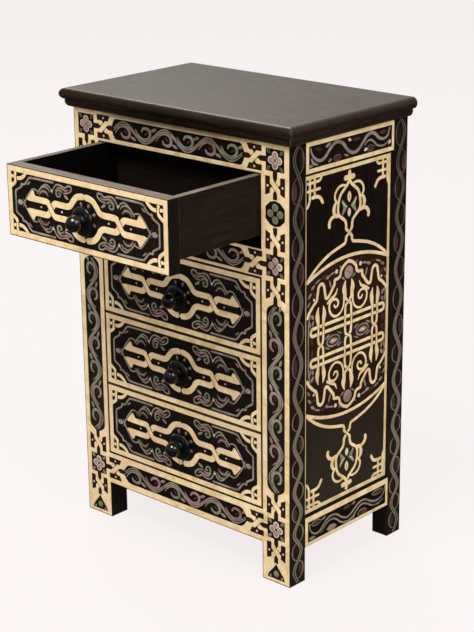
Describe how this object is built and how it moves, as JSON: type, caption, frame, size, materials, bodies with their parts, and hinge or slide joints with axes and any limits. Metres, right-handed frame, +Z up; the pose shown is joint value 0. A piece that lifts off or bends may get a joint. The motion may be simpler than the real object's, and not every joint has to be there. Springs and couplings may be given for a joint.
{
  "type": "nightstand",
  "caption": "Narrow wooden nightstand with square posts, framed side panels, a projecting top and full-width drawers with round knobs, covered in painted scroll and strap ornament.",
  "frame": {"origin": "on the floor, at the centre of the rectangle that the piece takes with its top drawer open as stored", "axes": "+Z up, -Y towards the person who opens the drawers, +X to that person's right"},
  "size_m": [0.45, 0.469, 0.6755],
  "materials": {
    "painted_wood": "black lacquer, satin",
    "stained_top": "espresso stain, satin",
    "drawer_wood": "dark stain, worn on the edges",
    "bare_wood": "plain sawn wood",
    "knob_lacquer": "gloss black lacquer on turned wood",
    "screw_steel": "zinc plated",
    "cream_paint": "brushed cream paint",
    "green_paint": "sage green paint",
    "pink_paint": "dusty pink paint",
    "grey_paint": "grey-beige line paint"
  },
  "bodies": {
    "root": {"table_top": "stained_top", "moulding_front": "stained_top", "moulding_left": "stained_top", "moulding_right": "stained_top", "front_post_left": "painted_wood", "front_post_right": "painted_wood", "back_post_left": "painted_wood", "back_post_right": "painted_wood", "top_rail": "painted_wood", "middle_rail": "painted_wood", "bottom_rail": "painted_wood", "divider_rail_upper": "painted_wood", "divider_rail_lower": "painted_wood", "side_rail_top_left": "painted_wood", "side_rail_top_right": "painted_wood", "side_rail_bottom_left": "painted_wood", "side_rail_bottom_right": "painted_wood", "side_panel_left": "painted_wood", "side_panel_right": "painted_wood", "back_rail_top": "painted_wood", "back_rail_bottom": "painted_wood", "back_panel": "painted_wood", "runner_1_left": "bare_wood", "runner_1_right": "bare_wood", "runner_2_left": "bare_wood", "runner_2_right": "bare_wood", "runner_3_left": "bare_wood", "runner_3_right": "bare_wood", "runner_4_left": "bare_wood", "runner_4_right": "bare_wood", "drawer_stops": "bare_wood", "top_screws": "screw_steel"},
    "drawer_1": {"drawer_1_front": "painted_wood", "drawer_1_side_left": "drawer_wood", "drawer_1_side_right": "drawer_wood", "drawer_1_back": "drawer_wood", "drawer_1_bottom": "drawer_wood", "drawer_1_knob": "knob_lacquer", "drawer_1_knob_screw": "screw_steel"},
    "drawer_2": {"drawer_2_front": "painted_wood", "drawer_2_side_left": "drawer_wood", "drawer_2_side_right": "drawer_wood", "drawer_2_back": "drawer_wood", "drawer_2_bottom": "drawer_wood", "drawer_2_knob": "knob_lacquer", "drawer_2_knob_screw": "screw_steel"},
    "drawer_3": {"drawer_3_front": "painted_wood", "drawer_3_side_left": "drawer_wood", "drawer_3_side_right": "drawer_wood", "drawer_3_back": "drawer_wood", "drawer_3_bottom": "drawer_wood", "drawer_3_knob": "knob_lacquer", "drawer_3_knob_screw": "screw_steel"},
    "drawer_4": {"drawer_4_front": "painted_wood", "drawer_4_side_left": "drawer_wood", "drawer_4_side_right": "drawer_wood", "drawer_4_back": "drawer_wood", "drawer_4_bottom": "drawer_wood", "drawer_4_knob": "knob_lacquer", "drawer_4_knob_screw": "screw_steel"}
  },
  "joints": [
    {"name": "drawer_1_slide", "type": "slide", "parent": "root", "child": "drawer_1", "axis": [0, -1, 0], "range_m": [-0.177, 0.008]},
    {"name": "drawer_2_slide", "type": "slide", "parent": "root", "child": "drawer_2", "axis": [0, -1, 0], "range_m": [0, 0.185]},
    {"name": "drawer_3_slide", "type": "slide", "parent": "root", "child": "drawer_3", "axis": [0, -1, 0], "range_m": [0, 0.185]},
    {"name": "drawer_4_slide", "type": "slide", "parent": "root", "child": "drawer_4", "axis": [0, -1, 0], "range_m": [0, 0.185]}
  ]
}
